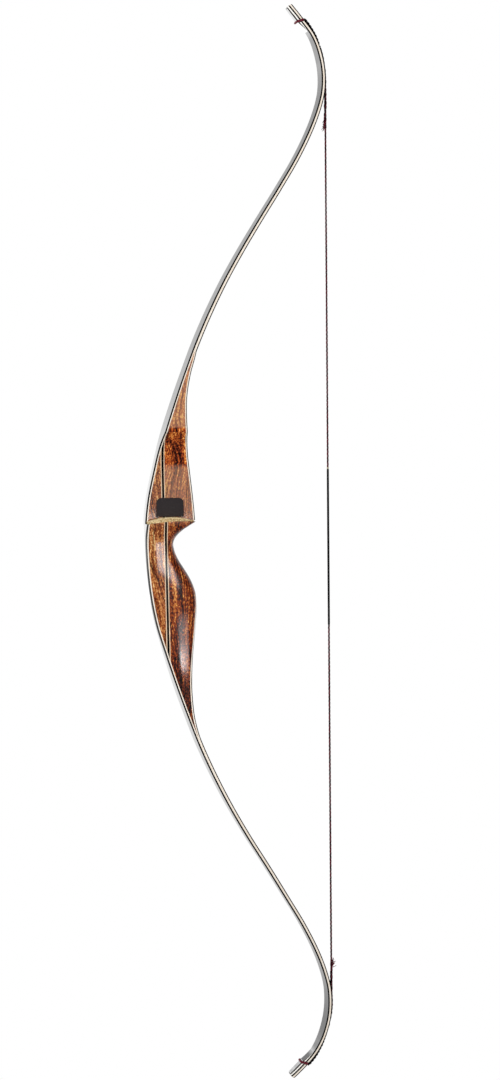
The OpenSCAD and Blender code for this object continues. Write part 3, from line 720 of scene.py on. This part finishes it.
def makeThread(name, look):
    # waxed polyester thread: fine fibres with a soft sheen
    material, tree, shader = newMaterial(name, {
        "Roughness": 0.55, "IOR": 1.5, "Specular IOR Level": 0.35, "Sheen Weight": look.get("sheen", 0.15),
        "Sheen Roughness": 0.4, "Sheen Tint": toLinear(look["light"]),
    })
    addGrain(tree, shader, onObject(tree), [(0.35, look["dark"]), (0.65, look["light"])],
             scale=1900, detail=2, roughness=0.6)
    return material


def makeRugPile(name, look):
    # brushed wool pile, matted and pale, in tones that vary at random
    material, tree, shader = newMaterial(name, {
        "Roughness": 0.9, "IOR": 1.45, "Specular IOR Level": 0.2, "Sheen Weight": 0.3,
        "Sheen Roughness": 0.5, "Sheen Tint": toLinear("fff3cf"),
    })
    tuft = addGrain(tree, shader, onObject(tree), look["tones"], scale=480, detail=4, roughness=0.8)
    addBump(tree, shader, tuft, strength=0.8, distance=0.0006)
    return material


def makeLeather(name, look):
    # smooth black leather: low sheen and a fine pebble under a millimetre
    material, tree, shader = newMaterial(name, {
        "Base Color": toLinear(look["colour"]), "Roughness": 0.5, "IOR": 1.48, "Specular IOR Level": 0.4,
    })
    pebble = addNode(tree, "TexVoronoi", {"feature": "DISTANCE_TO_EDGE", "Scale": 1500.0},
                     {"Vector": onObject(tree)})
    addBump(tree, shader, pebble.outputs["Distance"], strength=0.25, distance=0.0002)
    return material


# looks: [maker, the material's name, its settings]
looks = {
    # in the hardwoods, veil sets the painted light on the window's wall and heel the painted shade on the
    # heel
    "mainWood": [makeHardwood, "bubingaMainBlock", {
        "tilt": -1, "shift": (0, 0, 0), "level": -0.44, "paler": 0.06, "paintedLightVeil": 0.33, "ring": 0.4,
        "heel": 0.7, "tones": ("160401", "501604", "86340b", "b4601f", "ecb564")}],
    "frontWood": [makeHardwood, "bubingaFrontBlock", {
        "tilt": 8, "shift": (40, 7, 0), "level": -0.385, "paler": 0.02, "paintedLightVeil": 0.12, "ring": 0.35,
        "heel": 1.0, "tones": ("260903", "66240a", "9a5020", "c48044", "f0c88a")}],
    "core": [makeMaple, "mapleCore", {"dark": "ead9c4", "light": "fdf5ea"}],
    "accent": [makeMaple, "mapleAccent", {"dark": "c4a080", "light": "ecd2b4"}],
    "backGlass": [makeLaminate, "blackGlassLaminate", {
        "colour": "020202", "rough": 0.1, "coat": 0.4, "specular": 0.3}],
    "bellyGlass": [makeLaminate, "smokedGlassLaminate", {
        "colour": "050303", "rough": 0.12, "specular": 0.3}],
    "stripe": [makeLaminate, "blackPhenolicLaminate", {
        "colour": "010101", "rough": 0.3, "specular": 0.2, "coat": 0.35, "blur": 0.1}],
    "tipDark": [makeLaminate, "blackTipLaminate", {
        "colour": "020202", "rough": 0.1, "specular": 0.3, "coat": 0.8}],
    "tipLight": [makeLaminate, "ivoryLaminate", {"colour": "fdfaf4", "rough": 0.25}],
    "leather": [makeLeather, "blackLeather", {"colour": "2e282a"}],
    "rug": [makeRugPile, "woolPile", {"tones": [(0.36, "7d5f38"), (0.48, "ccb07a"), (0.6, "f8e6bc")]}],
    "maroon": [makeThread, "maroonWaxedThread", {"dark": "470d18", "light": "85253a"}],
    "black": [makeThread, "blackWaxedThread", {"dark": "090708", "light": "191416", "sheen": 0.03}],
    "deepMaroon": [makeThread, "deepMaroonWaxedThread", {
        "dark": "3e0210", "light": "6c1226", "sheen": 0.05}],
    "serving": [makeThread, "blackServingThread", {"dark": "080808", "light": "141414", "sheen": 0.02}],
    "pale": [makeThread, "paleServingKnot", {"dark": "8d8468", "light": "cfc7ab"}],
}
materials = {key: make(name, look) for key, (make, name, look) in looks.items()}
print("materials made")

# riser pieces from the back to the belly: [name, columns, look, slot]
riserLayers = {
    "riser_back_glass": ["backGlass", 5, "backGlass", "back_fibreglass"],
    "riser_back_core": ["backCore", 6, "core", "core_maple"],
    "riser_front_block": ["frontBlock", 22, "frontWood", "riser_wood"],
    "riser_stripe_light_front": ["stripeLightFront", 4, "accent", "core_maple"],
    "riser_stripe_dark": ["stripeDark", 4, "stripe", "black_laminate"],
    "riser_stripe_light_rear": ["stripeLightRear", 4, "accent", "core_maple"],
    "riser_main_block": ["mainBlock", 36, "mainWood", "riser_wood"],
}
for layer, (node, (name, columns, look, slotName)) in enumerate(riserLayers.items()):
    span = max(riserSpans(layer), key=lambda s: s[1] - s[0])
    riserPiece(name, layer, columns, look, node, span)
for layer, kind, look, slotName in ((7, "core", "core", "core_maple"),
                                    (8, "glass", "bellyGlass", "belly_fibreglass")):
    for low, high in riserSpans(layer):
        half = "upper" if high > 0 else "lower"
        riserPiece(f"{half}RiserBelly{kind.title()}", layer, 4, look, f"riser_{half}_belly_{kind}",
                   (low, high))
print("riser made")

# limb pieces: for each lamination a root piece and an outer piece, then the tip overlays
limbLayers = [("back_glass", 2, "backGlass", "back_fibreglass"), ("back_core", 3, "core", "core_maple"),
              ("belly_core", 4, "core", "core_maple"), ("belly_glass", 5, "bellyGlass", "belly_fibreglass")]
limbSplit = 350
flex = {"root": (252, 292), "recurve": 60, "depth": 3}
for part in (upper, lower):
    s, name = part["sign"], part["name"]
    for kind, layer, look, slotName in limbLayers:
        root = limbPiece(f"{name}LimbRoot_{kind}", None, layer, s * bow["riserEnd"], s * limbSplit, look,
                         None, [f"{name}_limb_{kind}"])
        a, b = (sidePoint(s * z, flex["depth"]) for z in flex["root"])
        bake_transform(root)
        limb = limbPiece(f"{name}Limb_{kind}", part, layer, s * limbSplit, part["tip"], look, None,
                         [f"{name}_recurve_{kind}"])
        a, b = (sidePoint(part["middle"] + way * s * flex["recurve"], flex["depth"]) for way in (-1, 1))
        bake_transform(limb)
    for layer, (kind, slotName) in enumerate((("Dark", "black_laminate"), ("Light", "overlay_light"))):
        limbPiece(f"{name}Overlay{kind}", part, layer, part["overlay"], part["tip"], f"tip{kind}",
                  f"{name}_recurve", [f"{name}_tip_overlay_{kind.lower()}"])
print("limbs made")

# string: in each lay the strands, the length of a turn, and the sizes of helix and strand
lays = {
    "upper": {"strands": 3, "pitch": 16, "helix": 0.58, "strand": 0.7},
    "lower": {"strands": 3, "pitch": 16, "helix": 0.62, "strand": 0.74},
    "splice": {"strands": 4, "pitch": 21, "helix": 0.95, "strand": 0.76, "loose": 0.3},
    "loop": {"strands": 2, "pitch": 9, "helix": 0.75, "strand": 0.86},
}
loop = {"clear": 0.9, "beside": 0.35, "round": 0.5, "shoulder": 2, "maroon": 1.2}
# the splice swells where the strands are tucked in, in mm past the tag ends
tucks = [{"at": 11, "swell": 0.35}, {"at": 26, "swell": 0.2}]
tags = {"count": 26, "length": (2.4, 6.6), "fan": (0.3, 1.2, 1.9, 2.5), "scatter": (0.8, 2.3),
        "sway": 2.4, "curl": 0.8, "off": (0.1, 1.2), "radius": (0.55, 0.32), "points": 7, "darkEvery": 6}
wind = {"ridge": 0.09, "pitch": 0.8, "start": 0.8, "step": 0.2}
knot = {"length": 2.2, "radius": 1.3, "ridge": 0.1, "pitch": 0.35}
overlap = 4
threadAngle = 80


def loopRoute(part):
    nock, merge = part["nock"], part["merge"]
    cx, cz, gx, gz = nockCentre(part)
    s = slopeOf(backAt, nock)
    n = math.sqrt(1 + s * s)
    out = (stackDepth(nock) + overlayDepth) / 2 / (gx / n - gz * s / n) + loop["clear"]
    side, corner = halfNock + loop["beside"], loop["round"]

    def across(far, y):
        return np.array([cx + far * gx, y, cz + far * gz])

    def down(share, y):
        return beltPoint(merge + (nock - merge) * share, -0.5 * share) + np.array([0, y, 0])
    half = [across(-out, side * 0.25), across(-out, side * 0.75), across(corner - out, side - corner),
            across(loop["shoulder"] - out, side), across(0, side), across(out - 1.5, side),
            across(out, side - corner), down(0.7, side * 0.74), down(0.38, side * 0.46),
            down(0.12, string["splice"] / 2 + 0.3)]
    return half + [down(0, 0)] + [p * np.array([1, -1, 1]) for p in reversed(half)]


def spliceLine(part):
    # on the belly from the loop to the lift point, then straight to the tag ends
    contact = [beltPoint(z) for z in np.linspace(part["merge"] - part["sign"] * 1.5, part["lift"], 24)]
    return contact + [onString(part["tagEnd"] - part["sign"] * overlap)]


def finishThread(part, kind, bm, node, body="_string", looks=("maroon", "black")):
    name = part["name"]
    return finishPiece(name + kind, bm, looks, body and name + body, [name + node], threadAngle)


def makeLoop(part):
    lay = lays["loop"]
    bm = bmesh.new()
    points, along = resample(rounded(loopRoute(part)), 0.9, True)
    points, along = points[:-1], along[:-1]
    # whole turns, so that the strands close
    turns = round(along[-1] / lay["pitch"]) * (1 - 1 / len(along))
    addStrands(bm, points, along, dict(lay, pitch=along[-1] / turns), closed=True)
    # both strands are maroon across the nock and black down the belly
    cx, cz, gx, gz = nockCentre(part)
    edge = stackDepth(part["nock"]) / 2 + loop["maroon"]
    for face in bm.faces:
        place = face.calc_center_median() / mm
        face.material_index = int((place.x - cx) * gx + (place.z - cz) * gz > edge)
    finishThread(part, "Loop", bm, "_string_loop", "_loop")


def makeSplice(part):
    s, name, lay = part["sign"], part["name"], lays["splice"]
    bm = bmesh.new()
    points, along = resample(spliceLine(part), 1.2)
    past = np.abs(points[:, 2]) - abs(part["tagEnd"])
    swell = 1 + sum(tuck["swell"] * np.exp(-(past - tuck["at"]) ** 2 * 0.08) for tuck in tucks)
    addStrands(bm, points, along, dict(lay, helix=lay["helix"] * swell))
    # all strands are black where the splice lies on the belly
    for face in bm.faces:
        if (face.calc_center_median().z / mm - part["lift"]) * s > 4:
            face.material_index = 1
    splice = finishThread(part, "Splice", bm, "_string_splice", None)
    a, b = beltPoint(part["merge"]) * mm, (part["liftPoint"] - np.array([0, 0, 6 * s])) * mm
    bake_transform(splice)


def makeString(part):
    bm = bmesh.new()
    ends = [onString(part["tagEnd"] + overlap * part["sign"]), onString(string["nocking"])]
    points, along = resample(ends, 1.3)
    addStrands(bm, points, along, lays[part["name"]])
    finishThread(part, "String", bm, "_string", looks=("black", "deepMaroon"))


def makeTags(part, rng):
    # loose ends of the strands, fanned out beside the string
    sign = part["sign"]
    bm = bmesh.new()
    for k in range(tags["count"]):
        start = onString(part["tagEnd"] + sign * rng.uniform(*part["tagSpan"]))
        length = rng.uniform(*tags["length"])
        fan = rng.choice(tags["fan"]) * rng.uniform(*tags["scatter"]) * -sign
        sway = rng.uniform(-tags["sway"], tags["sway"])
        t = np.linspace(0, 1, tags["points"])[:, None]
        curl = rng.uniform(-tags["curl"], tags["curl"])
        line = (start + np.array([-sign * rng.uniform(*tags["off"]), 0, 0])
                + t * np.array([fan, sway, -sign * length])
                + np.sin(t * math.pi) * np.array([curl, curl, 0]))
        radii = np.linspace(*tags["radius"], tags["points"])
        addTube(bm, line, radii, 5, slot=int(k % tags["darkEvery"] == 0))
    finishThread(part, "TagEnds", bm, "_tag_ends")


def makeServing(part):
    # thread wound side by side, its ridges drawn coarse enough to show
    end = string["servingTop"] if part["sign"] > 0 else string["servingBottom"]
    points, along = resample([onString(end), onString(string["nocking"])], wind["step"])
    wave = np.abs(np.sin(along * math.pi / wind["pitch"]))
    ridges = string["serving"] / 2 - wind["ridge"] + wind["ridge"] * wave
    ridges *= np.clip(wind["start"] + along * 0.2, 0, 1)
    bm = bmesh.new()
    addTube(bm, points, ridges, 12)
    finishThread(part, "Serving", bm, "_serving", looks=("serving",))


def makeKnot():
    bm = bmesh.new()
    top = string["servingTop"]
    points, along = resample([onString(top), onString(top + knot["length"])], wind["step"])
    addTube(bm, points, knot["radius"] + knot["ridge"] * np.sin(along * math.pi / knot["pitch"]), 12)
    finishPiece("servingKnot", bm, ["pale"], "upper_string", (), threadAngle)


rng = random.Random(7)
for part in (upper, lower):
    makeLoop(part)
    makeSplice(part)
    makeString(part)
    makeTags(part, rng)
    makeServing(part)
makeKnot()
print("string made")

# shelf rug and side plate
rugFront, rugBack = window["wall"] - rug["width"], window["wall"]
rugStart = float(backAt(window["shelf"])) + rug["startGap"]
rugEnd = float(smoothCurve(riserBelly)(window["shelf"] + 6)) - rug["endGap"]
pile = {"fibres": 2600, "atFront": 0.35, "radii": (0.13, 0.11, 0.05), "shortest": 0.6}


def rugTop(x):
    sag = np.sqrt(rug["crown"] ** 2 - (x - rug["crownAt"]) ** 2)
    return window["shelf"] + rug["thick"] - rug["crown"] + sag


def rugSurface(x, y, lift):
    # a point on or in the rug: lift 0 is its underside, 1 its brushed top
    return (x, y, float(shelfTop(x) * (1 - lift) + rugTop(x) * lift))


def addRugBody(bm, columns=48, rows=20):
    x = np.linspace(rugStart + 0.3, rugEnd - 0.3, columns)
    y = np.linspace(rugFront + 0.3, rugBack - 0.1, rows)
    grid = np.zeros((rows, columns, 3))
    for j in range(rows):
        for i in range(columns):
            edge = min(i, columns - 1 - i, j) / 3
            soft = math.sqrt(max(0, 1 - max(0, 1 - edge) ** 2))
            bumpy = 0.06 * math.sin(i * 1.7 + j) + 0.05 * math.sin(j * 2.3 - i * 0.7)
            grid[j, i] = rugSurface(x[i], y[j], 0.06 + 0.84 * (0.3 + 0.7 * soft) + bumpy * soft)
    wrappedGrid(bm, grid)
    under = bmesh.ops.extrude_edge_only(bm, edges=[e for e in bm.edges if e.is_boundary])
    for vert in under["geom"]:
        if isinstance(vert, bmesh.types.BMVert):
            vert.co.z = (float(shelfTop(vert.co.x / mm)) + 0.05) * mm


def addFibre(bm, rng):
    # a brushed fibre that stands, or leans off the rug's front edge
    def draw(*ranges):
        return np.array([rng.uniform(*r) if r else 0 for r in ranges])
    x, y = draw((rugStart, rugEnd), (rugFront, rugBack - 0.3))
    if rng.random() < pile["atFront"]:
        y = rugFront + rng.uniform(0, 0.8)
    root = np.array(rugSurface(x, y, rng.uniform(0.15, 0.75)))
    lean = draw((-1.6, 1.6), (-1.0, 0.5), (0.2, 1.5))
    if y < rugFront + 1:
        lean = draw((-1.4, 1.4), (-0.9, -0.1), (-1.0, 1.2))
    t = np.array([0, 0.5, 1.0])[:, None]
    line = root + t * lean + t * t * draw((-0.4, 0.4), None, (-0.5, 0))
    line[:, 2] = np.clip(line[:, 2], shelfTop(line[:, 0]) + 0.1, rugTop(line[:, 0]) - 0.05)
    line[:, 1] = np.clip(line[:, 1], rugFront - 0.6, rugBack - 0.15)
    line[:, 0] = np.clip(line[:, 0], rugStart - 0.5, rugEnd + 0.6)
    if np.linalg.norm(line[2] - line[0]) > pile["shortest"]:
        addTube(bm, line, pile["radii"], 3)


def makeRug():
    rng = random.Random(3)
    bm = bmesh.new()
    addRugBody(bm)
    for _ in range(pile["fibres"]):
        addFibre(bm, rng)
    finishPiece("shelfRug", bm, ["rug"], "riser", ["shelf_rug"], 60)


def makePlate(steps=8):
    w, h, r = plate["width"] / 2, plate["height"], plate["corner"]
    foot = window["shelf"] + rug["thick"] + plate["gap"]
    outline = [(-w, 0), (w, 0)]
    for middle, start in ((w - r, 0), (r - w, 90)):
        for k in range(steps + 1):
            angle = math.radians(start + 90 * k / steps)
            outline.append((middle + r * math.cos(angle), h - r + r * math.sin(angle)))
    bm = bmesh.new()
    outer = window["wall"] - plate["thick"]
    verts = [bm.verts.new(Vector((plate["middle"] + x, outer, foot + z)) * mm) for x, z in outline]
    back = bmesh.ops.extrude_face_region(bm, geom=[bm.faces.new(verts)])
    moved = [v for v in back["geom"] if isinstance(v, bmesh.types.BMVert)]
    bmesh.ops.translate(bm, verts=moved, vec=Vector((0, (plate["thick"] - plate["seat"]) * mm, 0)))
    rim = [e for e in bm.edges if all(abs(v.co.y - outer * mm) < 1e-6 for v in e.verts)]
    bmesh.ops.bevel(bm, geom=rim, offset=plate["bevel"] * mm, segments=3, profile=0.5, affect="EDGES",
                    material=-1)
    finishPiece("sidePlate", bm, ["leather"], "riser", ["side_plate"], 50)


makeRug()
makePlate()
print("rug and plate made")

# studio

studio = {"floor": -760, "floorSize": 6, "key": 40, "fill": 2.5, "world": 0.62}
# what gloss surfaces see of the floor, in metres along Y and X
floorGloss = {"near": (-0.3, 0.4), "nearDim": 0.12, "far": (0.4, 5.0), "farGain": (0.63, 1.4),
              "aside": (-1.3, -0.7), "asideDim": 0.68}
# what they see round the bow: directions run from -1 to 1
room = {
    "turn": (-0.02, 0.4), "behind": 0.035, "rise": (-0.5, 1.0), "gain": 2.4,
    "tones": [(0.2, "f8f8f8"), (0.25, "e4e4e4"), (0.29, "bababa"), (0.35, "b6b6b6"), (0.415, "a0a0a0"),
              (0.47, "8c8c8c"), (0.7, "9a9a9a")],
    "patches": [{"height": (0.09, 0.03), "side": (-0.19, -0.15), "gain": 0.4},
                {"height": (0.04, 0.1), "side": (-0.22, -0.26), "gain": 1.8}],
}
view = {"azimuth": -9.8, "elevation": 3.0, "roll": -0.42, "lens": 85, "sensor": 36,
        "place": (-460.20, -3245.16, 178.70)}


def makeFloor():
    # pale studio floor, white where the camera or a gloss surface sees it
    material, tree, shader = newMaterial("paleFloorPaint", {
        "Base Color": toLinear("f4f4f2"), "Roughness": 0.8,
    })
    rays = addNode(tree, "LightPath").outputs
    axes = axesOf(tree, addNode(tree, "NewGeometry").outputs["Position"])
    depth = remap(tree, axes["Y"], floorGloss["near"], (floorGloss["nearDim"], 1.0))
    far = remap(tree, axes["Y"], floorGloss["far"], floorGloss["farGain"])
    aside = remap(tree, axes["X"], floorGloss["aside"], (floorGloss["asideDim"], 1.0))
    gloss = chain(tree, "MULTIPLY", depth, far, aside, rays["Is Glossy Ray"])
    seen = chain(tree, "MAXIMUM", rays["Is Camera Ray"], gloss, rays["Is Transmission Ray"])
    white = addNode(tree, "Emission", {"Color": (1, 1, 1, 1)}, {"Strength": seen})
    direct = calc(tree, "SUBTRACT", 1.0, rays["Is Diffuse Ray"])
    mixed = addNode(tree, "MixShader", {}, {0: direct, 1: shader.outputs[0], 2: white.outputs[0]})
    tree.links.new(mixed.outputs[0], tree.nodes["Material Output"].inputs["Surface"])
    bm = bmesh.new()
    bmesh.ops.create_grid(bm, x_segments=1, y_segments=1, size=studio["floorSize"],
                          matrix=Matrix.Translation((0, 0, studio["floor"] * mm)))
    addMesh("studioFloor", bm, material)


def makeWorld():
    # white round the back, as a studio sweep, and a grey room behind the camera
    world = bpy.data.worlds.new("studioWorld")
    bpy.context.scene.world = world
    world.use_nodes = True
    tree = world.node_tree
    tree.nodes.clear()
    rays = addNode(tree, "LightPath").outputs
    axes = axesOf(tree, addNode(tree, "TexCoord").outputs["Generated"])
    sweep = remap(tree, axes["Y"], room["turn"], (room["behind"], 1.0))
    height = toned(tree, remap(tree, axes["Z"], room["rise"]), room["tones"])
    lit = chain(tree, "MULTIPLY", sweep, height, room["gain"])
    # brighter patches of the sweep show in the riser's back and in the lower tip
    for patch in room["patches"]:
        bright = chain(tree, "MULTIPLY", sweep, remap(tree, axes["Z"], patch["height"]),
                       remap(tree, axes["X"], patch["side"], (0.0, patch["gain"])))
        lit = calc(tree, "ADD", lit, bright)
    gloss = calc(tree, "MULTIPLY", lit, rays["Is Glossy Ray"])
    diffuse = calc(tree, "MULTIPLY", rays["Is Diffuse Ray"], studio["world"])
    total = chain(tree, "MAXIMUM", gloss, rays["Is Camera Ray"], rays["Is Transmission Ray"], diffuse)
    glow = addNode(tree, "Background", {"Color": (1, 1, 1, 1)}, {"Strength": total})
    addNode(tree, "OutputWorld", {}, {"Surface": glow.outputs[0]})


def addLamp(name, place, target, size, watts, mirrored=False, turn=0, beam=180):
    lamp = bpy.data.lights.new(name, "AREA")
    lamp.shape = "RECTANGLE"
    lamp.size, lamp.size_y = size
    lamp.energy = watts
    lamp.spread = math.radians(beam)
    holder = addObject(name, lamp)
    holder.location = place
    aim = (Vector(target) - Vector(place)).to_track_quat("-Z", "Y")
    holder.rotation_euler = (Quaternion((0, 1, 0), math.radians(turn)) @ aim).to_euler()
    holder.visible_camera = False
    holder.visible_glossy = mirrored


def addCamera():
    # a long lens from the window's side, a little towards the back and above
    camera = bpy.data.cameras.new("camera")
    camera.lens = view["lens"]
    camera.sensor_fit = "VERTICAL"
    camera.sensor_height = view["sensor"]
    holder = addObject("camera", camera)
    holder.matrix_world = Matrix.Translation(Vector(view["place"]) * mm)
    for angle, axis in ((view["azimuth"], "Z"), (90 - view["elevation"], "X"), (view["roll"], "Z")):
        holder.matrix_world @= Matrix.Rotation(math.radians(angle), 4, axis)
    bpy.context.scene.camera = holder


makeFloor()
makeWorld()
addLamp("keyLamp", (-1.3, -2.0, 1.5), (0.05, 0, 0.1), (1.2, 1.2), studio["key"])
addLamp("fillLamp", (1.9, -1.6, 0.2), (0.1, 0, 0), (1.0, 1.6), studio["fill"])
# soft panels that show in the lacquer of handle and heel: [x, z, size, watts, turn]
panels = {
    "handlePanel": [0.043, -0.012, (0.125, 0.065), 0.018, 9],
    "heelPanel": [0.116, -0.163, (0.1, 0.028), 0.0155, 0],
    "heelMiddle": [0.116, -0.141, (0.09, 0.016), 0.005, 0],
    "heelGlow": [0.116, -0.125, (0.08, 0.016), 0.0018, 0],
}
for name, (x, z, size, watts, turn) in panels.items():
    addLamp(name, (x, -0.45, z), (x, 0, z - 0.05), size, watts, True, turn, 45)
addCamera()
bpy.context.scene.view_settings.view_transform = "Standard"
print("studio made")
